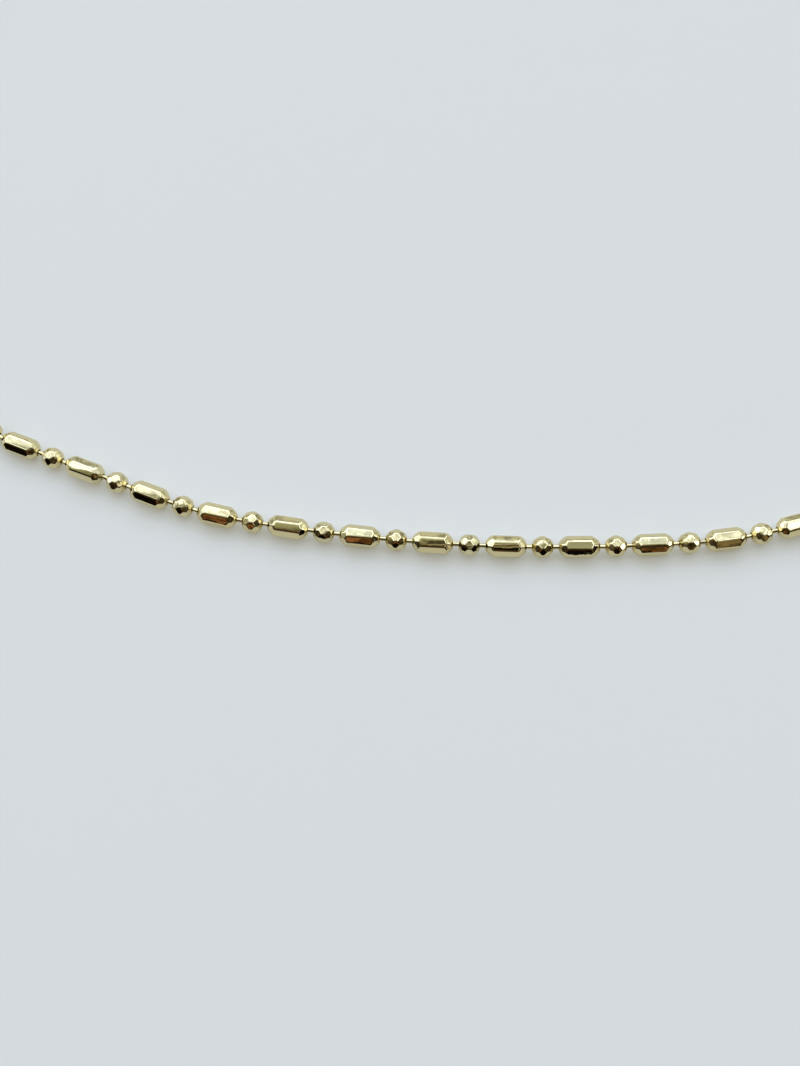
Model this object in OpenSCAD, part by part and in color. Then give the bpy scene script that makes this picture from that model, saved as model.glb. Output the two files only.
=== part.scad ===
// Bar-and-ball chain necklace: hollow faceted oblong and round beads in turn on short wire links, closed to one
// loop by a plain barrel and laid on a flat surface. Millimetres, +Z up. Every bead rests on z = 0, and the
// middle of the loop's box is at the origin. The loop is walked anticlockwise as seen from above, and its
// front is at -Y.

/* [Loop] */
// Number of oblong beads in the loop, 47 for a necklace of 20 inches
bar_count = 47; // [46:1:56]
// Mean length of the straight stretches at the two sides of the loop
side_len = 20; // [16:1:30]
// How much wider the right half of the back is than the mean of both halves
back_skew = 14; // [0:1:14]

/* [Oblong beads] */
// Length of an oblong bead along the chain
bar_len = 5.9; // [5.8:0.1:6.6]
// Distance from the chain's axis to a long facet of an oblong bead
bar_flat = 1.56; // [1.5:0.01:1.6]
// Length of the edges between an oblong bead's long facets
bar_edge = 3.5; // [3.4:0.05:3.7]
// Slope of an oblong bead's shoulder facets against the chain's axis
bar_slope = 34; // [32:1:36]

/* [Round beads] */
// Length of a round bead along the chain
ball_len = 3.0; // [2.95:0.05:3.2]
// Distance from the chain's axis to a middle facet of a round bead
ball_flat = 1.51; // [1.48:0.01:1.54]
// Length of the edges between a round bead's middle facets
ball_edge = 0.4; // [0.35:0.05:0.5]
// Slope of a round bead's shoulder facets against the chain's axis
ball_slope = 26; // [24:1:28]

/* [Facets and shell] */
// Slope of the facets around a hole against the chain's axis
mouth_slope = 55; // [54:1:58]
// Distance from the axis to a side of the small octagon around a hole
mouth_flat = 0.62; // [0.6:0.01:0.66]
// Radius of the hole at each end of a bead
hole_r = 0.5; // [0.48:0.01:0.52]
// Thickness of a bead's sheet metal
wall = 0.22; // [0.18:0.01:0.24]

/* [Wire links] */
// Clear length of wire between two beads
gap = 0.85; // [0.8:0.05:1.2]
// Radius of the wire
wire_r = 0.35; // [0.3:0.01:0.36]
// Radius of the head at each end of a wire
head_r = 0.6; // [0.58:0.01:0.64]

/* [Connector] */
// Length of the barrel that joins the two ends
barrel_len = 7.2; // [6.6:0.1:9]
// Radius of the barrel
barrel_r = 1.6; // [1.5:0.05:1.8]
// Width of the chamfer at each end of the barrel
barrel_chamfer = 0.5; // [0.3:0.05:0.6]

/* [Hidden] */

SIDES = 8;
STEP = 360 / SIDES;
ROUND = 32;
OVER = 1;
SLIVER = 0.05;
GOLD = [0.86, 0.76, 0.5];

// A kind is [length, distance to a flat, length of an edge between flats, slope of the shoulders]
BAR = [bar_len, bar_flat, bar_edge, bar_slope];
BALL = [ball_len, ball_flat, ball_edge, ball_slope];
BARREL = [barrel_len, barrel_r, barrel_len - 2 * barrel_chamfer];

// Stretches of the front from the middle round bead to each side: [half pitches, turn in degrees]
FRONT_RIGHT = [[4, 5], [4, 4], [3, 12]];
FRONT_LEFT = [[4, 0], [3, 12], [4, 4]];
// Heading of the chain at the middle round bead
FRONT_HEADING = -9;
// Turn of each bead about the chain, in degrees from a flat on top towards the outside of the loop.
// The first one is the bead FIRST_ROLL places along from the middle, and the list repeats around the loop.
ROLLS = [3, 1, 17, -4, 1, 1, -4, -5, 15, 7, -4, -2, 15, 17, 19, 2, 7, -4, -6, -9, -3, 0, 10];
FIRST_ROLL = -11;

// Centre to centre of a round bead and the next oblong one, and of the last round bead and the barrel
half_pitch = (bar_len + ball_len) / 2 + gap;
barrel_pitch = (ball_len + barrel_len) / 2 + gap;
loop_len = 2 * (bar_count * half_pitch + barrel_pitch);
// Beads from the middle one forwards to the barrel and backwards to it, both even as both ends are round beads
beads_out = 2 * ceil(bar_count / 2);
beads_back = 2 * floor(bar_count / 2);

// A place is [x, y, heading], a stretch of the route is [length, turn], and a route is a list of stretches
function arc(radius, turn) = [radius * turn * PI / 180, turn];
function radius_of(stretch) = stretch[0] / (stretch[1] * PI / 180);
function go(place, stretch) =
    let (h = place[2], t = stretch[1])
    t == 0
    ? [place[0] + stretch[0] * cos(h), place[1] + stretch[0] * sin(h), h]
    : [
        place[0] + radius_of(stretch) * (sin(h + t) - sin(h)),
        place[1] - radius_of(stretch) * (cos(h + t) - cos(h)),
        h + t
    ];
function go_all(place, route, i = 0) = i == len(route) ? place : go_all(go(place, route[i]), route, i + 1);
function share(stretch, distance) = [distance, stretch[1] * distance / stretch[0]];
function place_at(place, route, distance, i = 0) =
    i == len(route) - 1 || distance <= route[i][0]
    ? go(place, share(route[i], distance))
    : place_at(go(place, route[i]), route, distance - route[i][0], i + 1);
function in_mm(stretches) = [for (s = stretches) [s[0] * half_pitch, s[1]]];
function total(route, column) = [for (s = route) s[column]] * [for (s = route) 1];

// Both sides of the front turn back through a corner and a straight side, and two quarter circles join the sides
right_front = in_mm(FRONT_RIGHT);
left_front = in_mm(FRONT_LEFT);
right_turn = 90 - FRONT_HEADING - total(right_front, 1);
left_turn = 90 + FRONT_HEADING - total(left_front, 1);
right_run = go_all([0, 0, FRONT_HEADING], right_front);
left_run = go_all([0, 0, left_turn - 90], left_front);
// How far a corner of radius 1 takes the chain
right_unit = go([0, 0, 90 - right_turn], arc(1, right_turn));
left_unit = go([0, 0, -90], arc(1, left_turn));
// The corners' radii follow from two needs: the corners end level, and the loop has its full length
level = -left_run[1] - right_run[1];
fixed_len = total(right_front, 0) + total(left_front, 0) + 2 * side_len;
spare = loop_len - fixed_len - PI / 2 * (right_run[0] + left_run[0]);
right_use = right_turn * PI / 180 + PI / 2 * right_unit[0];
left_use = left_turn * PI / 180 + PI / 2 * left_unit[0];
both = right_unit[1] * left_use - left_unit[1] * right_use;
right_corner_r = (level * left_use - left_unit[1] * spare) / both;
left_corner_r = (right_unit[1] * spare - right_use * level) / both;
back_r = (right_run[0] + left_run[0] + right_corner_r * right_unit[0] + left_corner_r * left_unit[0]) / 2;
route = concat(
    right_front,
    [arc(right_corner_r, right_turn), [side_len - back_skew, 0]],
    [arc(back_r + back_skew, 90), arc(back_r - back_skew, 90)],
    [[side_len + back_skew, 0], arc(left_corner_r, left_turn)],
    left_front
);

// A piece on the chain is [kind, place, roll]. A bead that is n places along from the middle one is round
// where n is even, and the barrel is between the two last ones.
function place_on_loop(distance) =
    place_at([0, 0, FRONT_HEADING], route, distance < 0 ? distance + loop_len : distance);
function roll_of(n) = ROLLS[(n - FIRST_ROLL + len(ROLLS) * bar_count) % len(ROLLS)];
function bead_at(n) = [n % 2 == 0 ? BALL : BAR, place_on_loop(n * half_pitch), roll_of(n)];
barrel_at = [BARREL, place_on_loop(beads_out * half_pitch + barrel_pitch), 0];
BEADS_OUT = [for (n = [0 : beads_out]) bead_at(n)];
BEADS_BACK = [for (n = [-beads_back : -1]) bead_at(n)];
CHAIN = concat(BEADS_OUT, [barrel_at], BEADS_BACK);

// Reach of a piece from its axis, straight down and, as its sides match, straight sideways
function corner_r(kind) = kind[1] / cos(STEP / 2);
function reach(piece) =
    piece[0] == BARREL ? barrel_r : corner_r(piece[0]) * cos(STEP / 2 - abs(piece[2]));
function side_reach(piece, along, across) = abs(along) * piece[0][2] / 2 + abs(across) * reach(piece);
function reach_x(piece) = side_reach(piece, cos(piece[1][2]), sin(piece[1][2]));
function reach_y(piece) = side_reach(piece, sin(piece[1][2]), cos(piece[1][2]));
MIDDLE_X = (max([for (p = CHAIN) p[1][0] + reach_x(p)]) + min([for (p = CHAIN) p[1][0] - reach_x(p)])) / 2;
MIDDLE_Y = (max([for (p = CHAIN) p[1][1] + reach_y(p)]) + min([for (p = CHAIN) p[1][1] - reach_y(p)])) / 2;
function centre_of(piece) = [piece[1][0] - MIDDLE_X, piece[1][1] - MIDDLE_Y, reach(piece)];

// Middle of the sheet metal at a piece's hole, at the end that side gives: 1 forwards, -1 backwards
function mouth_of(piece, side) =
    centre_of(piece) + side * (piece[0][0] - wall) / 2 * [cos(piece[1][2]), sin(piece[1][2]), 0];

// Distances of the shoulder facets and the mouth facets from a bead's middle, square to the facet
function shoulder_d(kind) = corner_r(kind) * cos(kind[3]) + kind[2] / 2 * sin(kind[3]);
function mouth_d(kind) = mouth_flat * cos(mouth_slope) + kind[0] / 2 * sin(mouth_slope);
// Where the line of a facet at a slope and distance is r away from the axis
function line_x(slope, d, r) = (d - r * cos(slope)) / sin(slope);

// Half of a profile, as [x, r] points from the middle to the end, mirrored to a whole outline
function whole(half) = concat(
    half,
    [for (i = [len(half) - 1 : -1 : 0]) [half[i][0], -half[i][1]]],
    [for (p = half) [-p[0], -p[1]]],
    [for (i = [len(half) - 1 : -1 : 0]) [-half[i][0], half[i][1]]]
);

// Eight-sided bar along X, cut by the outline from four directions
module cut_round(half, width) {
    intersection_for (k = [0 : SIDES / 2 - 1])
        rotate([90 + k * STEP, 0, 0])
            linear_extrude(height = width, center = true)
                polygon(whole(half));
}

// The middle flats and the flats around the holes, which line up with each other
module lined_up_facets(kind) {
    flat_end = line_x(mouth_slope, mouth_d(kind), kind[1]);
    tip = line_x(mouth_slope, mouth_d(kind), 0);
    cut_round([[flat_end, kind[1]], [tip, 0]], 4 * kind[1]);
}

// The shoulder flats, half a step around from the others
module shoulder_facets(kind) {
    high = corner_r(kind) + SLIVER;
    high_end = line_x(kind[3], shoulder_d(kind), high);
    tip = line_x(kind[3], shoulder_d(kind), 0);
    rotate([STEP / 2, 0, 0])
        cut_round([[high_end, high], [tip, 0]], 4 * high);
}

// Hole through both ends and the hollow between them, turned about X
module hollow(kind) {
    inner_shoulder = shoulder_d(kind) - wall;
    inner_mouth = mouth_d(kind) - wall;
    belly_r = kind[1] - wall;
    bend_r = (inner_shoulder * sin(mouth_slope) - inner_mouth * sin(kind[3])) / sin(mouth_slope - kind[3]);
    mouth_x = kind[0] / 2 - wall;
    end_x = kind[0] / 2 + OVER;
    half = [
        [line_x(kind[3], inner_shoulder, belly_r), belly_r],
        [line_x(kind[3], inner_shoulder, bend_r), bend_r],
        [mouth_x, (inner_mouth - mouth_x * sin(mouth_slope)) / cos(mouth_slope)],
        [mouth_x, hole_r],
        [end_x, hole_r],
        [end_x, 0]
    ];
    turned(half);
}

// Solid of revolution about X from half of a profile
module turned(half) {
    mirrored = [for (i = [len(half) - 1 : -1 : 0]) [half[i][1], -half[i][0]]];
    rotate([0, 90, 0])
        rotate_extrude($fn = ROUND)
            polygon(concat([for (p = half) [p[1], p[0]]], mirrored));
}

module bead_shape(kind) {
    difference() {
        intersection() {
            lined_up_facets(kind);
            shoulder_facets(kind);
            cube([kind[0], 4 * kind[1], 4 * kind[1]], center = true);
        }
        hollow(kind);
    }
}

module put(piece) {
    translate(centre_of(piece))
        rotate([piece[2], 0, piece[1][2]])
            children();
}

module beads() {
    color(GOLD)
        for (piece = concat(BEADS_OUT, BEADS_BACK))
            put(piece)
                bead_shape(piece[0]);
}

// Wire from the middle of one bead's hole to the next, with a head past each end, along X from the origin
module wire_link(length) {
    near = wall / 2 + 0.2;
    flank = head_r - wire_r;
    far = near + flank + 0.3;
    half = [
        [length / 2 + near, wire_r],
        [length / 2 + near + flank, head_r],
        [length / 2 + far, head_r],
        [length / 2 + far + flank, wire_r],
        [length / 2 + far + flank, 0]
    ];
    translate([length / 2, 0, 0])
        turned(half);
}

module links() {
    color(GOLD)
        for (i = [0 : len(CHAIN) - 1]) {
            start = mouth_of(CHAIN[i], 1);
            span = mouth_of(CHAIN[(i + 1) % len(CHAIN)], -1) - start;
            translate(start)
                rotate([0, -asin(span[2] / norm(span)), atan2(span[1], span[0])])
                    wire_link(norm(span));
        }
}

// Plain barrel with a chamfer at each end, hollow, with a hole for the wire at each end
module connector() {
    half_len = barrel_len / 2;
    outside = [
        [half_len - barrel_chamfer, barrel_r],
        [half_len, barrel_r - barrel_chamfer],
        [half_len, 0]
    ];
    inside = [
        [half_len - barrel_chamfer - wall, barrel_r - wall],
        [half_len - wall, barrel_r - barrel_chamfer - wall],
        [half_len - wall, hole_r],
        [half_len + OVER, hole_r],
        [half_len + OVER, 0]
    ];
    color(GOLD)
        put(barrel_at)
            difference() {
                turned(outside);
                turned(inside);
            }
}

beads();
links();
connector();
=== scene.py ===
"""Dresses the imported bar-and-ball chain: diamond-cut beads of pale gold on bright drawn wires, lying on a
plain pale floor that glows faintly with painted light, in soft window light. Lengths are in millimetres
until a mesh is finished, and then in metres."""
import math
import random

import bmesh
import bpy
import numpy as np
from mathutils import Matrix, Vector


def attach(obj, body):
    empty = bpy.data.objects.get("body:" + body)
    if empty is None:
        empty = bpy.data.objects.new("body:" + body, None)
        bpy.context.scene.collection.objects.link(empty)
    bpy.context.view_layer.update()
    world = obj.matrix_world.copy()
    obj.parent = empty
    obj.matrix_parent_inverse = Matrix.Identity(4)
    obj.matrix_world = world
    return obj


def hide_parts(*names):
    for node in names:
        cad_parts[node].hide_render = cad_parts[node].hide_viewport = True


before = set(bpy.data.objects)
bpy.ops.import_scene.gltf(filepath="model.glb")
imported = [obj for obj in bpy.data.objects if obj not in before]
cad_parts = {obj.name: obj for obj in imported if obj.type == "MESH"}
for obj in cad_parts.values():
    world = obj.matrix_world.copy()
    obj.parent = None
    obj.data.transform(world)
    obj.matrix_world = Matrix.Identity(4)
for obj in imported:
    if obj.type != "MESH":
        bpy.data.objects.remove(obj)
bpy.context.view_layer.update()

MM = 0.001
BODY = "root"

# Cut of the beads. A kind of bead is its length along the chain, the distance from the axis to a middle
# flat, the length of the edges between those flats, the slope of its shoulder facets, and how soft its
# edges are.
BAR = {"length": 5.9, "flat": 1.56, "edge": 3.5, "shoulder": math.radians(34), "soft": 0.2}
BALL = {"length": 3.0, "flat": 1.51, "edge": 0.4, "shoulder": math.radians(26), "soft": 0.14}
SIDES = 8
STEP = 2 * math.pi / SIDES
MOUTH_SLOPE = math.radians(55)
MOUTH_FLAT = 0.64
HOLE_R = 0.48
WALL = 0.22
HOLE_SIDES = 16
# A facet with more than this much of its normal along the chain is one of those around a mouth
MOUTH_NORMAL = 0.8
# Share of the edges' softness that the edges around a mouth have
MOUTH_SHARE = 0.3
EDGE_STEPS = 3
# Lean that polishing gives a facet along each side of it, and the area in square metres of the smallest
# facet that gets it
CROWN = math.radians(1.4)
LEAST_FACET = 0.4e-6
# How far the cutter wandered from facet to facet
CUT_TILT = math.radians(0.8)
CUT_DEPTH = 0.03

# Barrel that joins the ends
BARREL = {"length": 7.2, "radius": 1.6, "chamfer": 0.5}
BARREL_SIDES = 64

# Wires
WIRE_R = 0.35
HEAD_R = 0.6
WIRE_SIDES = 24
HEAD_STEPS = 8
# Radius of the flat on a wire's tip, as a share of the wire's own
TIP_SHARE = 0.6
# From the middle of a bead's sheet metal to the tip of the wire inside the bead
TIP_DEPTH = 1.11

# The photo is 800 by 1066 pixels, and the camera was solved in it
PHOTO_HEIGHT = 1066
FOCAL_PIXELS = 1292
SENSOR = 36
CAMERA_AT = Vector((-10.995, -124.104, 181.62))
CAMERA_ELEVATION = math.radians(73.4)
CAMERA_ROLL = math.radians(-3.5)
# Nearest distance that it sees, in metres
NEAREST_SEEN = 0.01

# Pale yellow gold, as linear colour, and the same alloy a little redder, as some beads are
GOLD = (0.72, 0.64, 0.375, 1)
WARM_GOLD = (0.735, 0.63, 0.345, 1)
# Colour that the base darkens to near the rims of the holes, and on the wires near where they enter the
# beads
HOLE_DARK_COLOUR = (0.19, 0.14, 0.07, 1)


# Places of the pieces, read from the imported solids

def loose_solids(node):
    """Corner points of each loose solid of a CAD node, in millimetres."""
    same_point = 1e-7
    whole = bmesh.new()
    whole.from_mesh(node.data)
    bmesh.ops.remove_doubles(whole, verts=whole.verts, dist=same_point)
    solids = []
    for start in whole.verts:
        if start.tag:
            continue
        start.tag = True
        solid = [start]
        for corner in solid:
            for edge in corner.link_edges:
                other = edge.other_vert(corner)
                if not other.tag:
                    other.tag = True
                    solid.append(other)
        solids.append(np.array([corner.co for corner in solid], float) / MM)
    whole.free()
    return solids


def tips_of(points):
    """The middles of a wire's two end faces, in the order in which the loop is walked anticlockwise."""
    face_depth = 0.02
    middle = points.mean(axis=0)
    axis = np.linalg.svd(points - middle, full_matrices=False)[2][0]
    along = (points - middle) @ axis
    low = points[along < along.min() + face_depth].mean(axis=0)
    high = points[along > along.max() - face_depth].mean(axis=0)
    anticlockwise = low[0] * high[1] - low[1] * high[0] > 0
    return (low, high) if anticlockwise else (high, low)


def read_wires():
    """Each wire's two tips, sorted around the loop."""
    wires = [tips_of(points) for points in loose_solids(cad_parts["links"])]
    return sorted(wires, key=lambda tips: math.atan2(tips[0][1], tips[0][0]))


def mouth_at(tip, other_tip):
    """The middle of the hole that a wire's tip has gone through."""
    towards = other_tip - tip
    return tip + towards / np.linalg.norm(towards) * TIP_DEPTH


def read_faces(node):
    """Middle in millimetres, normal, and area in square metres of each face of a CAD node."""
    faces = node.data.polygons
    middles = np.zeros(len(faces) * 3)
    normals = np.zeros(len(faces) * 3)
    areas = np.zeros(len(faces))
    faces.foreach_get("center", middles)
    faces.foreach_get("normal", normals)
    faces.foreach_get("area", areas)
    return middles.reshape(-1, 3) / MM, normals.reshape(-1, 3), areas


def roll_of(middle, axis, faces):
    """A bead's turn about the chain, in radians, from the CAD faces around its middle that run along it."""
    # A facet that runs along the chain has less than this much of its normal along it
    lengthwise_normal = 0.01
    centres, normals, areas = faces
    side = np.array([-axis[1], axis[0], 0])
    offset = centres - middle
    near = np.linalg.norm(offset, axis=1) < BAR["length"] / 2
    lengthwise = np.abs(normals @ axis) < lengthwise_normal
    outside = np.einsum("ij,ij->i", offset, normals) > BALL["flat"] - WALL / 2
    chosen = near & lengthwise & outside
    angle = np.arctan2(normals[chosen, 2], normals[chosen] @ side)
    return np.angle(np.sum(areas[chosen] * np.exp(1j * SIDES * angle))) / SIDES


def read_places():
    """What each bead or barrel is and the matrix that places it, in order around the loop."""
    wires = read_wires()
    faces = read_faces(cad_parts["beads"])
    kinds = [BAR, BALL, BARREL]
    places = []
    for before, after in zip(wires[-1:] + wires[:-1], wires):
        start = mouth_at(before[1], before[0])
        end = mouth_at(after[0], after[1])
        middle = (start + end) / 2
        span = np.linalg.norm(end - start)
        # The two holes' middles are half a wall in from the ends
        kind = min(kinds, key=lambda k: abs(k["length"] - WALL - span))
        axis = (end - start) / span
        heading = math.atan2(axis[1], axis[0])
        roll = 0 if kind is BARREL else roll_of(middle, axis, faces)
        turned = Matrix.Rotation(heading, 4, "Z") @ Matrix.Rotation(roll, 4, "X")
        places.append({"kind": kind, "matrix": Matrix.Translation(middle) @ turned})
    return places


# Beads

def shoulder_distance(kind):
    """From a bead's middle to its shoulder facets, square to them."""
    corner = kind["flat"] / math.cos(STEP / 2)
    return corner * math.cos(kind["shoulder"]) + kind["edge"] / 2 * math.sin(kind["shoulder"])


def mouth_distance(kind):
    """From a bead's middle to the facets around its holes, square to them."""
    return MOUTH_FLAT * math.cos(MOUTH_SLOPE) + kind["length"] / 2 * math.sin(MOUTH_SLOPE)


def facet_planes(kind, rng):
    """Normal and distance of each facet of a bead along X, off by a little, as a cutter leaves them."""
    rings = [(0, 0, kind["flat"], CUT_DEPTH)]
    rings += [(end * kind["shoulder"], STEP / 2, shoulder_distance(kind), CUT_DEPTH) for end in (-1, 1)]
    rings += [(end * MOUTH_SLOPE, 0, mouth_distance(kind), 0) for end in (-1, 1)]
    planes = []
    for slope, shift, distance, depth in rings:
        for k in range(SIDES):
            around = k * STEP + shift
            tilt = slope + rng.uniform(-CUT_TILT, CUT_TILT)
            across = around + rng.uniform(-CUT_TILT, CUT_TILT)
            normal = Vector((
                math.sin(tilt),
                math.cos(tilt) * math.cos(across),
                math.cos(tilt) * math.sin(across),
            ))
            planes.append((normal, distance - rng.uniform(0, depth)))
    for end in (-1, 1):
        planes.append((Vector((end, 0, 0)), kind["length"] / 2))
    return planes


def cut_solid(planes, size):
    """The solid that cuts along all the planes leave of a cube of that size."""
    solid = bmesh.new()
    bmesh.ops.create_cube(solid, size=size)
    for normal, distance in planes:
        everything = [*solid.verts, *solid.edges, *solid.faces]
        cut = bmesh.ops.bisect_plane(
            solid, geom=everything, plane_co=normal * distance, plane_no=normal, clear_outer=True
        )
        rim = [part for part in cut["geom_cut"] if isinstance(part, bmesh.types.BMEdge)]
        bmesh.ops.contextual_create(solid, geom=rim)
    return solid


def hollow_stations(kind):
    """The inside of a bead from its middle to the rim of its hole, as (x, radius) stations."""
    slope = kind["shoulder"]
    belly_r = kind["flat"] - WALL
    belly_x = (shoulder_distance(kind) - WALL - belly_r * math.cos(slope)) / math.sin(slope)
    inner_end = kind["length"] / 2 - WALL
    neck_r = (mouth_distance(kind) - WALL - inner_end * math.sin(MOUTH_SLOPE)) / math.cos(MOUTH_SLOPE)
    return [
        (belly_x, belly_r),
        (inner_end, neck_r),
        (inner_end, HOLE_R),
        (kind["length"] / 2, HOLE_R),
    ]


def ring_of_corners(solid, x, radius, sides):
    """A ring of new corners about the X axis."""
    angles = [2 * math.pi * i / sides for i in range(sides)]
    return [solid.verts.new((x, radius * math.cos(a), radius * math.sin(a))) for a in angles]


def join_rings(solid, low, high):
    """A band of faces between two rings with equally many corners."""
    count = len(low)
    return [
        solid.faces.new((low[i], high[i], high[(i + 1) % count], low[(i + 1) % count]))
        for i in range(count)
    ]


def open_mouth(solid, end, rim):
    """Swaps a bead's flat end for a ring of faces around its round hole."""
    flat_end = max(solid.faces, key=lambda face: face.normal.x * end)
    corners = sorted(flat_end.verts, key=lambda v: math.atan2(v.co.z, v.co.y) % (2 * math.pi))
    bmesh.ops.delete(solid, geom=[flat_end], context="FACES_ONLY")
    share = len(rim) // SIDES
    made = []
    for k in range(SIDES):
        inner = [rim[(k * share + i) % len(rim)] for i in range(share, -1, -1)]
        loop = [corners[k], corners[(k + 1) % SIDES], *inner]
        made.append(solid.faces.new(loop if end > 0 else loop[::-1]))
    return made


def bead_solid(kind, rng):
    """A hollow faceted bead along X, with the softness of each edge as a bevel weight."""
    solid = cut_solid(facet_planes(kind, rng), 4 * kind["length"])
    solid.normal_update()
    stations = hollow_stations(kind)
    inside = [(-x, r) for x, r in reversed(stations)] + stations
    rings = [ring_of_corners(solid, x, r, HOLE_SIDES) for x, r in inside]
    rims = {*open_mouth(solid, 1, rings[-1]), *open_mouth(solid, -1, rings[0])}
    linings = {face for low, high in zip(rings, rings[1:]) for face in join_rings(solid, low, high)}
    solid.normal_update()
    soft = solid.edges.layers.float.new("bevel_weight_edge")
    for edge in solid.edges:
        sides = set(edge.link_faces)
        slopes = [abs(face.normal.x) for face in sides]
        if sides <= linings:
            edge[soft] = 0
        elif sides & rims:
            edge[soft] = MOUTH_SHARE if len(sides & rims) == 1 else 0
        else:
            edge[soft] = 1 if max(slopes) < MOUTH_NORMAL else MOUTH_SHARE
    wrap_texture(solid, rng, kind["length"] / 2)
    return solid


def wrap_texture(solid, rng, hole_x):
    """Two sets of texture coordinates. "wrap" has the place along and around the piece in millimetres,
    starting anywhere. "hole" has the distance to the nearest hole's rim in millimetres, and a number of
    the piece's own from 0 to 1."""
    furthest = 100
    wrap = solid.loops.layers.uv.new("wrap")
    hole = solid.loops.layers.uv.new("hole")
    start = Vector((rng.uniform(0, furthest), rng.uniform(0, furthest)))
    own = rng.random()
    for face in solid.faces:
        middle = face.calc_center_median()
        around = math.atan2(middle.z, middle.y)
        for loop in face.loops:
            at = loop.vert.co
            turn = (math.atan2(at.z, at.y) - around + math.pi) % (2 * math.pi) - math.pi
            radius = math.hypot(at.y, at.z)
            loop[wrap].uv = start + Vector((at.x, (around + turn) * radius))
            loop[hole].uv = (math.hypot(hole_x - abs(at.x), radius - HOLE_R), own)


def joined(solids):
    """One mesh of many bmesh solids, each already in its place."""
    whole = bmesh.new()
    for solid in solids:
        part = bpy.data.meshes.new("part")
        solid.to_mesh(part)
        solid.free()
        whole.from_mesh(part)
        bpy.data.meshes.remove(part)
    mesh = bpy.data.meshes.new("whole")
    whole.to_mesh(mesh)
    whole.free()
    return mesh


def make_piece(name, mesh, material, slot, *nodes):
    """An object that rides on the chain's body and stands for its CAD nodes."""
    piece = bpy.data.objects.new(name, mesh)
    bpy.context.scene.collection.objects.link(piece)
    mesh.materials.clear()
    mesh.materials.append(material)
    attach(piece, BODY)
    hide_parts(*nodes)
    return piece


def with_soft_edges(mesh, width):
    """The mesh in metres, with its weighted edges rounded and its facets shaded as slightly crowned."""
    holder = bpy.data.objects.new("holder", mesh)
    bpy.context.scene.collection.objects.link(holder)
    mesh.polygons.foreach_set("use_smooth", [True] * len(mesh.polygons))
    bevel = holder.modifiers.new("soft_edges", "BEVEL")
    bevel.width = width
    bevel.segments = EDGE_STEPS
    bevel.limit_method = "WEIGHT"
    bevel.use_clamp_overlap = False
    bevel.harden_normals = True
    bpy.context.view_layer.update()
    seen = holder.evaluated_get(bpy.context.evaluated_depsgraph_get())
    soft = bpy.data.meshes.new_from_object(seen)
    bpy.data.objects.remove(holder)
    soft.transform(Matrix.Scale(MM, 4))
    crown_facets(soft)
    return soft


def crown_facets(mesh):
    """Leans the normals outwards along the sides of each facet, which shades it as slightly crowned."""
    # Cosine of the angle up to which a corner's normal counts as its facet's own
    own_normal = 0.999
    normals = np.zeros(len(mesh.loops) * 3)
    mesh.corner_normals.foreach_get("vector", normals)
    normals = normals.reshape(-1, 3)
    corners_at = [[] for _ in mesh.vertices]
    for corner in mesh.loops:
        corners_at[corner.vertex_index].append(corner.index)
    crowned = normals.copy()
    for facet in mesh.polygons:
        if facet.area < LEAST_FACET:
            continue
        points = [mesh.vertices[i].co for i in facet.vertices]
        edges = [point - points[i - 1] for i, point in enumerate(points)]
        outwards = [edge.cross(facet.normal).normalized() for edge in edges]
        for vertex, before, after in zip(facet.vertices, outwards, outwards[1:] + outwards[:1]):
            leaning = (facet.normal + CROWN * (before + after)).normalized()
            for corner in corners_at[vertex]:
                if facet.normal.dot(normals[corner]) > own_normal:
                    crowned[corner] = leaning
    mesh.normals_split_custom_set(crowned)


def make_beads(places, kind, name, material):
    """All the beads of one kind, as one piece."""
    rng = random.Random(name)
    solids = []
    for place in places:
        if place["kind"] is kind:
            solid = bead_solid(kind, rng)
            solid.transform(place["matrix"])
            solids.append(solid)
    mesh = with_soft_edges(joined(solids), kind["soft"])
    return make_piece(name, mesh, material, "bead_gold", "beads")


# Wires and barrel

def turned_solid(profile, sides):
    """A solid turned about X, from (x, radius) points of which the first and last are on the axis."""
    solid = bmesh.new()
    rings = [ring_of_corners(solid, x, r, sides) for x, r in profile[1:-1]]
    for low, high in zip(rings, rings[1:]):
        join_rings(solid, low, high)
    for ring, (x, _), end in ((rings[0], profile[0], -1), (rings[-1], profile[-1], 1)):
        tip = solid.verts.new((x, 0, 0))
        for i, corner in enumerate(ring):
            following = ring[(i + 1) % sides]
            solid.faces.new((tip, corner, following) if end > 0 else (tip, following, corner))
    return solid


def round_corner(x, radius, turn_from, turn_to, size, steps=4):
    """Points of part of a turn about a point in a profile. Angles are in degrees from the X axis."""
    angles = [math.radians(turn_from + (turn_to - turn_from) * i / steps) for i in range(steps + 1)]
    return [(x + size * math.cos(a), radius + size * math.sin(a)) for a in angles]


def wire_profile(span):
    """Half of a wire from its middle to its tip: a plain shank, and a round head inside the bead."""
    head_half = (HEAD_R - WIRE_R) * 2
    head_x = span / 2 - head_half
    neck_x = head_x - head_half
    head = [
        (head_x - head_half * math.cos(a), WIRE_R + (HEAD_R - WIRE_R) * math.sin(a))
        for a in (math.pi * i / HEAD_STEPS for i in range(1, HEAD_STEPS))
    ]
    return [(0, WIRE_R), (neck_x, WIRE_R), *head, (span / 2, WIRE_R * TIP_SHARE), (span / 2, 0)]


def make_wires(material):
    """All the wires, as one piece."""
    solids = []
    for near, far in read_wires():
        span = float(np.linalg.norm(far - near))
        half = wire_profile(span)
        profile = [(-x, r) for x, r in reversed(half[1:])] + half
        solid = turned_solid(profile, WIRE_SIDES)
        turned = Vector(far - near).to_track_quat("X", "Z").to_matrix().to_4x4()
        wrap_texture(solid, random.Random(len(solids)), span / 2 - TIP_DEPTH)
        solid.transform(Matrix.Translation((near + far) / 2) @ turned)
        solids.append(solid)
    mesh = joined(solids)
    mesh.transform(Matrix.Scale(MM, 4))
    shade_round(mesh)
    return make_piece("wires", mesh, material, "wire_gold", "links")


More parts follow.
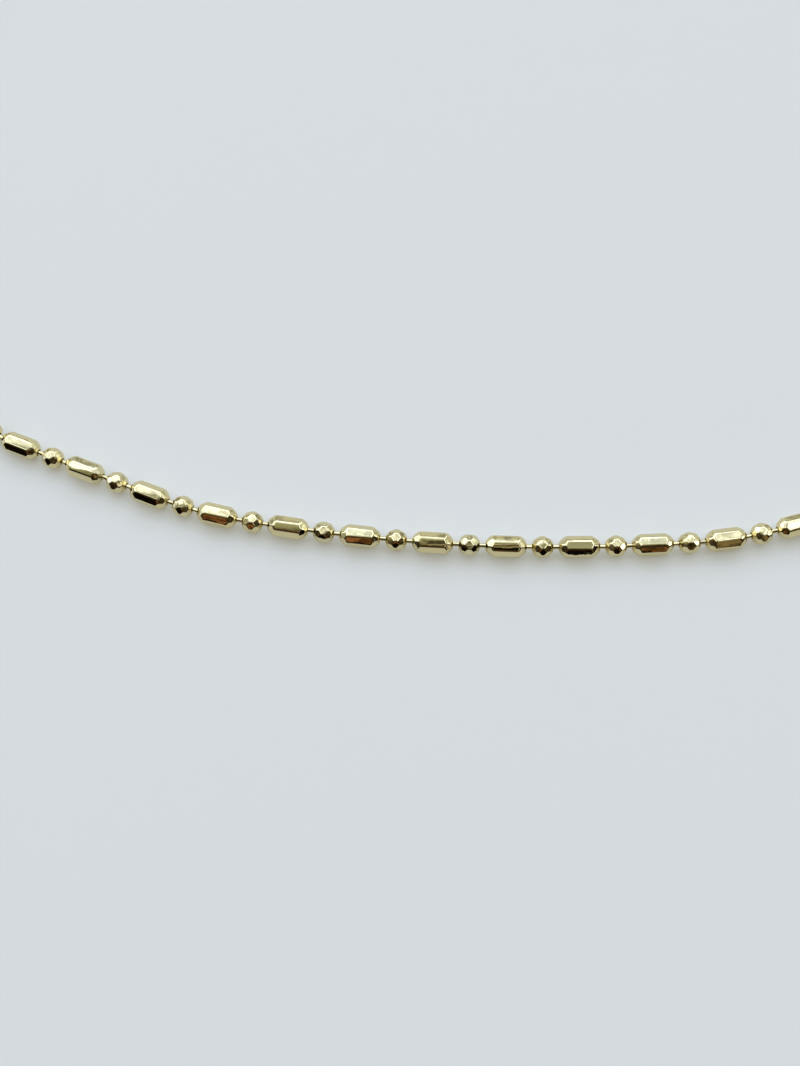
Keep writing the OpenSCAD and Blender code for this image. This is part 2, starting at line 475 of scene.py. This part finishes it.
def shade_round(mesh):
    """Smooth shading, apart from edges that turn by more than a round shape's do."""
    least_sharp = math.radians(50)
    mesh.polygons.foreach_set("use_smooth", [True] * len(mesh.polygons))
    mesh.set_sharp_from_angle(angle=least_sharp)


def barrel_profile():
    """Closed outline of the hollow barrel as (x, radius) points: from one hole over the outside to the
    other, and back through the inside."""
    half = BARREL["length"] / 2
    outer = BARREL["radius"]
    chamfer = BARREL["chamfer"]
    soft = 0.12
    outside = [
        (half, HOLE_R + soft / 2),
        (half, outer - chamfer - soft),
        *round_corner(half - soft, outer - chamfer - soft / 2, 0, 45, soft),
        *round_corner(half - chamfer - soft, outer - soft, 45, 90, soft),
    ]
    inside = [
        (half - chamfer, outer - 2 * WALL),
        (half - WALL, outer - chamfer - 2 * WALL),
        (half - WALL, HOLE_R),
        (half - soft / 2, HOLE_R),
    ]
    left_outside = [(-x, r) for x, r in reversed(outside)]
    left_inside = [(-x, r) for x, r in reversed(inside)]
    return outside + left_outside + left_inside + inside


def make_barrel(places, material):
    """The barrel that joins the two ends of the chain."""
    place = next(place for place in places if place["kind"] is BARREL)
    solid = bmesh.new()
    rings = [ring_of_corners(solid, x, r, BARREL_SIDES) for x, r in barrel_profile()]
    for low, high in zip(rings, rings[1:] + rings[:1]):
        join_rings(solid, high, low)
    wrap_texture(solid, random.Random("barrel"), BARREL["length"] / 2)
    solid.transform(place["matrix"])
    mesh = joined([solid])
    mesh.transform(Matrix.Scale(MM, 4))
    shade_round(mesh)
    return make_piece("barrel", mesh, material, "barrel_gold", "connector")


# Materials

# A finish is the size and height of the polish's waves, the spacing and depth of the tool's marks, how
# often those repeat along the piece and around it (1 is once in their spacing), and the roughness where
# clean and where handled
BEAD_FINISH = {
    "wave_size": 2.0, "wave_height": 0.03,
    "mark_spacing": 0.05, "mark_depth": 0.0002, "mark_run": (0.05, 1, 1),
    "clean": 0.03, "handled": 0.13,
}
WIRE_FINISH = {
    "wave_size": 0.6, "wave_height": 0.006,
    "mark_spacing": 0.06, "mark_depth": 0.0004, "mark_run": (0.04, 1, 1),
    "clean": 0.05, "handled": 0.11,
}
BARREL_FINISH = {
    "wave_size": 1.6, "wave_height": 0.012,
    "mark_spacing": 0.07, "mark_depth": 0.0004, "mark_run": (1, 0.05, 1),
    "clean": 0.07, "handled": 0.18,
}
# Size of a film's patches and reach of the darkening from a hole's rim, in millimetres
FILM_SIZE = 1.8
HOLE_DARK_REACH = 0.3
# How often the ragged edge of the darkening comes and goes in a millimetre
HOLE_DARK_RATE = 7
# How rough a deep mark is, as a share of a film
MARK_SHARE = 0.5

FLOAT = "NodeSocketFloat"
VECTOR = "NodeSocketVector"


class Tree:
    """A node tree with short ways to add a node and to link it."""

    def __init__(self, tree):
        self.tree = tree

    def add(self, kind, inputs=None, **settings):
        """A node with settings, and with inputs, by name or number, linked or set to a value."""
        made = self.tree.nodes.new(kind)
        for key, value in settings.items():
            setattr(made, key, value)
        for key, value in (inputs or {}).items():
            self.feed(made.inputs[key], value)
        return made

    def feed(self, socket, value):
        """Links another node's output to a socket, or sets the socket to a plain value."""
        if isinstance(value, bpy.types.NodeSocket):
            self.tree.links.new(value, socket)
        else:
            socket.default_value = value

    def maths(self, operation, *values):
        """A Math node's result for values that are outputs or numbers."""
        return self.add("ShaderNodeMath", dict(enumerate(values)), operation=operation).outputs[0]

    def scaled(self, vector, number):
        """A vector times a number."""
        inputs = {"Vector": vector, "Scale": number}
        return self.add("ShaderNodeVectorMath", inputs, operation="SCALE").outputs[0]

    def stretched(self, vector, other):
        """A vector times another, part by part."""
        return self.add("ShaderNodeVectorMath", {0: vector, 1: other}, operation="MULTIPLY").outputs[0]

    def ramp(self, value, start, end, low=0, high=1):
        """low up to start, high from end on, and smooth between them."""
        inputs = {"Value": value, "From Min": start, "From Max": end, "To Min": low, "To Max": high}
        return self.add("ShaderNodeMapRange", inputs, interpolation_type="SMOOTHSTEP").outputs[0]

    def noise(self, vector, detail, **inputs):
        """Noise from 0 to 1 that comes and goes about once in each unit of the vector."""
        inputs = {"Vector": vector, "Scale": 1, "Detail": detail, **inputs}
        return self.add("ShaderNodeTexNoise", inputs).outputs[0]

    def mix(self, share, first, second):
        """The first colour at a share of 0, the second at 1."""
        # Where a Mix node has its sockets for colours
        first_in, second_in, colour_out = 6, 7, 2
        inputs = {"Factor": share, first_in: first, second_in: second}
        return self.add("ShaderNodeMix", inputs, data_type="RGBA").outputs[colour_out]


def new_group(name, inputs, outputs):
    """An empty shader group with named sockets, as (group, its Tree, its inputs, its outputs)."""
    group = bpy.data.node_groups.new(name, "ShaderNodeTree")
    for label, kind in inputs:
        group.interface.new_socket(label, in_out="INPUT", socket_type=kind)
    for label, kind in outputs:
        group.interface.new_socket(label, in_out="OUTPUT", socket_type=kind)
    tree = Tree(group)
    return group, tree, tree.add("NodeGroupInput").outputs, tree.add("NodeGroupOutput").inputs


def polish_waves():
    """Long low waves that polishing leaves, as a height in metres. Sizes go in as millimetres."""
    inputs = [("Place", VECTOR), ("Wave size", FLOAT), ("Wave height", FLOAT)]
    group, tree, given, result = new_group("polish_waves", inputs, [("Height", FLOAT)])
    place = tree.scaled(given["Place"], tree.maths("DIVIDE", 1, given["Wave size"]))
    height = tree.maths("MULTIPLY", tree.noise(place, detail=1.5), given["Wave height"])
    tree.feed(result["Height"], tree.maths("MULTIPLY", height, MM))
    return group


def tool_marks():
    """Fine lines that a cutter or a drawing die leaves: height in metres, and a mask of the deep ones."""
    inputs = [("Place", VECTOR), ("Spacing", FLOAT), ("Depth", FLOAT), ("Run", VECTOR)]
    group, tree, given, result = new_group("tool_marks", inputs, [("Height", FLOAT), ("Lines", FLOAT)])
    place = tree.scaled(given["Place"], tree.maths("DIVIDE", 1, given["Spacing"]))
    lines = tree.noise(tree.stretched(place, given["Run"]), detail=1)
    deep = tree.maths("MULTIPLY", given["Depth"], MM)
    tree.feed(result["Height"], tree.maths("MULTIPLY", lines, deep))
    tree.feed(result["Lines"], tree.ramp(lines, start=0.58, end=0.72))
    return group


def film_and_hole_dark():
    """Where handled gold has taken a film, and where the colour darkens around a hole, as masks from 0 to
    1.
    """
    inputs = [("Place", VECTOR), ("Film size", FLOAT), ("To hole", FLOAT), ("Reach", FLOAT)]
    group, tree, given, result = new_group("film_and_hole_dark", inputs, [("Film", FLOAT), ("Hole dark", FLOAT)])
    place = tree.scaled(given["Place"], tree.maths("DIVIDE", 1, given["Film size"]))
    patches = tree.noise(place, detail=5, Roughness=0.62)
    tree.feed(result["Film"], tree.ramp(patches, start=0.46, end=0.68))
    ragged = tree.noise(tree.scaled(given["Place"], HOLE_DARK_RATE), detail=2)
    inside = tree.maths("SUBTRACT", tree.maths("MULTIPLY", ragged, given["Reach"]), given["To hole"])
    # However far it reaches, it thins out within a millimetre
    near = tree.ramp(given["To hole"], start=0, end=1, low=1, high=0)
    tree.feed(result["Hole dark"], tree.ramp(inside, start=0, end=given["Reach"], high=near))
    return group


GROUPS = {"polish_waves": polish_waves(), "tool_marks": tool_marks(), "film_and_hole_dark": film_and_hole_dark()}


def make_gold(name, finish):
    """Polished gold with waves, marks of its tool, a film where handled and darker colour around the holes.
    """
    material = bpy.data.materials.new(name)
    material.use_nodes = True
    tree = Tree(material.node_tree)
    shader = material.node_tree.nodes["Principled BSDF"]
    place = tree.add("ShaderNodeUVMap", uv_map="wrap").outputs[0]
    hole = tree.add("ShaderNodeSeparateXYZ", {0: tree.add("ShaderNodeUVMap", uv_map="hole").outputs[0]})
    to_hole, own = hole.outputs[0], hole.outputs[1]

    def effect(group, **inputs):
        """Outputs of a shader group that is fed by its inputs' names, with _ for each space in them."""
        made = tree.add("ShaderNodeGroup", node_tree=GROUPS[group])
        for label, value in inputs.items():
            tree.feed(made.inputs[label.replace("_", " ")], value)
        return made.outputs

    waves = effect(
        "polish_waves",
        Place=place,
        Wave_size=finish["wave_size"],
        Wave_height=finish["wave_height"],
    )
    marks = effect(
        "tool_marks",
        Place=place,
        Spacing=finish["mark_spacing"],
        Depth=finish["mark_depth"],
        Run=finish["mark_run"],
    )
    film_and_darkening = effect("film_and_hole_dark", Place=place, Film_size=FILM_SIZE, To_hole=to_hole, Reach=HOLE_DARK_REACH)
    alloy = tree.mix(own, GOLD, WARM_GOLD)
    # The base colour darkens towards the rims of the holes
    tree.feed(shader.inputs["Base Color"], tree.mix(film_and_darkening["Hole dark"], alloy, HOLE_DARK_COLOUR))
    rougher = tree.maths("MAXIMUM", film_and_darkening["Film"], tree.maths("MULTIPLY", marks["Lines"], MARK_SHARE))
    roughness = tree.ramp(rougher, start=0, end=1, low=finish["clean"], high=finish["handled"])
    tree.feed(shader.inputs["Roughness"], roughness)
    height = tree.maths("ADD", waves["Height"], marks["Height"])
    bump = tree.add("ShaderNodeBump", {"Height": height, "Strength": 1, "Distance": 1})
    tree.feed(shader.inputs["Normal"], bump.outputs[0])
    shader.inputs["Metallic"].default_value = 1
    return material


# Room, floor and camera

# The floor's side in metres. Its own faint glow is painted light, which keeps the shadows beside the chain
# pale and warm
FLOOR_SIZE = 3
FLOOR_COLOUR = (0.495, 0.507, 0.521, 1)
FLOOR_ROUGHNESS = 0.55
# Colour and strength of the floor's painted glow, which lightens and warms the shadows on it
FLOOR_PAINTED_GLOW = (1, 0.989, 0.806, 1)
FLOOR_PAINTED_GLOW_STRENGTH = 0.25


def make_floor():
    """A plain pale floor under the chain, which glows faintly with painted light that keeps its shadows
    pale and warm.
    """
    bpy.ops.mesh.primitive_plane_add(size=FLOOR_SIZE)
    floor = bpy.context.object
    floor.name = "floor"
    material = bpy.data.materials.new("pale_floor_painted_glow")
    material.use_nodes = True
    shader = material.node_tree.nodes["Principled BSDF"]
    shader.inputs["Base Color"].default_value = FLOOR_COLOUR
    shader.inputs["Roughness"].default_value = FLOOR_ROUGHNESS
    # Painted light: the floor glows though it is no lamp
    shader.inputs["Emission Color"].default_value = FLOOR_PAINTED_GLOW
    shader.inputs["Emission Strength"].default_value = FLOOR_PAINTED_GLOW_STRENGTH
    floor.data.materials.append(material)


# Tone of the room by how far a direction tilts from straight up towards the viewer: (degrees, colour)
ROOM = [
    (-90, (0.67, 0.70, 0.69)),
    (-80, (0.52, 0.55, 0.53)),
    (-66, (0.51, 0.53, 0.50)),
    (-14, (0.35, 0.37, 0.29)),
    (3, (0.47, 0.49, 0.42)),
    (12, (0.37, 0.38, 0.25)),
    (16, (0.14, 0.12, 0.085)),
    (30, (0.058, 0.047, 0.03)),
    (56, (0.042, 0.031, 0.016)),
    (69, (0.02, 0.012, 0.006)),
    (72, (0.004, 0.003, 0.002)),
    (90, (0.004, 0.003, 0.002)),
]
# Lights and dark things in the room, the later ones in front: (tilt from, tilt to, side from, side to,
# softness, colour), with all angles in degrees and side as the angle to the viewer's right
PANES = [
    # The big window behind the chain, its bright middle, and a pale wall to the right of it
    (-66.5, -14.5, -80, 40, 2.0, (1.35, 1.5, 1.75)),
    (-60, -34, -72, 36, 3.0, (2.0, 2.25, 2.8)),
    (-48, -14.5, 40, 84, 2.5, (0.92, 1.02, 1.0)),
    # A window on the right, and the pale wall beside it
    (4, 36, 55, 89, 2.5, (2.3, 2.5, 2.8)),
    (-8, 5, 45, 84, 2.0, (0.93, 1.0, 1.15)),
    # Lamps overhead
    (-8, 9.5, -50, -20, 1.0, (2.0, 2.2, 2.5)),
    (-8, 3, -14, 0, 1.5, (1.0, 1.05, 1.1)),
    (-14, 10, 14, 28, 1.5, (2.1, 2.3, 2.7)),
    # A dark panel with three pale strips across it and a black edge
    (9, 30, -5, 14, 1.0, (0.085, 0.077, 0.05)),
    (14.2, 15.6, -5, 14, 0.4, (0.42, 0.40, 0.30)),
    (16.9, 18.4, -5, 14, 0.4, (0.62, 0.60, 0.48)),
    (20.6, 22.2, -5, 14, 0.4, (0.40, 0.37, 0.24)),
    (22.8, 32, -8, 16, 0.5, (0.004, 0.004, 0.003)),
    # A lamp beside the panel
    (31, 40, 15, 27, 2.0, (1.0, 1.0, 0.85)),
    # Copper brown strips low on the viewer's side, and a black gap in them
    (59.7, 68, -31.5, 2, 0.7, (0.215, 0.096, 0.04)),
    (60.5, 66.5, 2, 22, 0.7, (0.225, 0.105, 0.042)),
    (63, 70, 2, 8.4, 0.6, (0.004, 0.003, 0.002)),
    # Two dull patches of wall, lower still and to the right
    (66, 80, 15, 31, 1.5, (0.17, 0.13, 0.07)),
    (80, 90, 44, 72, 2.0, (0.50, 0.46, 0.34)),
]
# Folds of the curtain in the big window, and clutter on the viewer's side: how often they come within a
# radian, by what share they brighten or dim, and between which tilts they fade out or in
FOLDS = {"rate": (20, 3, 3), "share": 0.4, "edge": {"start": -16, "end": -10, "low": 1, "high": 0}}
CLUTTER = {"rate": (11, 11, 11), "share": 0.6, "edge": {"start": 20, "end": 26}}
BACKDROP = (0.70, 0.74, 0.77, 1)


def make_world():
    """The room as the gold reflects it, and a plain backdrop where the camera looks past the floor."""
    world = bpy.data.worlds.new("room")
    bpy.context.scene.world = world
    world.use_nodes = True
    world.node_tree.nodes.clear()
    tree = Tree(world.node_tree)
    direction = tree.add("ShaderNodeTexCoord").outputs["Generated"]
    x, y, z = tree.add("ShaderNodeSeparateXYZ", {0: direction}).outputs
    tilt = tree.maths("DEGREES", tree.maths("ARCTAN2", tree.maths("MULTIPLY", y, -1), z))
    side = tree.maths("DEGREES", tree.maths("ARCSINE", x))

    def between(value, start, end, softness):
        """1 from start to end, and 0 outside, with soft edges."""
        rise = tree.ramp(value, start - softness, start + softness)
        fall = tree.ramp(value, end - softness, end + softness, low=1, high=0)
        return tree.maths("MULTIPLY", rise, fall)

    # The ramp is one whole turn long, from -180 to 180 degrees, and has two stops from the start
    tone = tree.add("ShaderNodeValToRGB", {0: tree.maths("ADD", tree.maths("DIVIDE", tilt, 360), 0.5)})
    stops = tone.color_ramp.elements
    ready = len(stops)
    for i, (angle, colour) in enumerate(ROOM):
        position = angle / 360 + 0.5
        stop = stops[i] if i < ready else stops.new(position)
        stop.position = position
        stop.color = (*colour, 1)
    lit = tone.outputs["Color"]
    for tilt_from, tilt_to, side_from, side_to, softness, colour in PANES:
        within_tilt = between(tilt, tilt_from, tilt_to, softness)
        within_side = between(side, side_from, side_to, softness)
        lit = tree.mix(tree.maths("MULTIPLY", within_tilt, within_side), lit, (*colour, 1))
    shade = 1
    # Most of a noise lies between these
    noise_low, noise_high = 0.35, 0.65
    for pattern in (FOLDS, CLUTTER):
        noise = tree.noise(tree.stretched(direction, pattern["rate"]), detail=2)
        change = tree.ramp(noise, noise_low, noise_high, low=-pattern["share"], high=pattern["share"])
        here = tree.ramp(tilt, **pattern["edge"])
        shade = tree.maths("ADD", shade, tree.maths("MULTIPLY", change, here))
    lit = tree.scaled(lit, shade)
    from_camera = tree.add("ShaderNodeLightPath").outputs["Is Camera Ray"]
    background = tree.add("ShaderNodeBackground", {"Color": tree.mix(from_camera, lit, BACKDROP)})
    tree.add("ShaderNodeOutputWorld", {"Surface": background.outputs[0]})


def make_camera():
    """The camera that took the photo, as solved in it."""
    camera = bpy.data.objects.new("camera", bpy.data.cameras.new("camera"))
    bpy.context.scene.collection.objects.link(camera)
    camera.data.sensor_width = SENSOR
    camera.data.lens = FOCAL_PIXELS / PHOTO_HEIGHT * SENSOR
    camera.data.clip_start = NEAREST_SEEN
    tilted = Matrix.Rotation(math.pi / 2 - CAMERA_ELEVATION, 4, "X")
    rolled = Matrix.Rotation(CAMERA_ROLL, 4, "Z")
    camera.matrix_world = Matrix.Translation(CAMERA_AT * MM) @ (tilted @ rolled)
    bpy.context.scene.camera = camera


places = read_places()
bead_gold = make_gold("bead_gold_finish", BEAD_FINISH)
make_beads(places, BAR, "bar_beads", bead_gold)
make_beads(places, BALL, "round_beads", bead_gold)
make_wires(make_gold("wire_gold_finish", WIRE_FINISH))
make_barrel(places, make_gold("barrel_gold_finish", BARREL_FINISH))
make_floor()
make_world()
make_camera()
bpy.context.scene.view_settings.view_transform = "Standard"
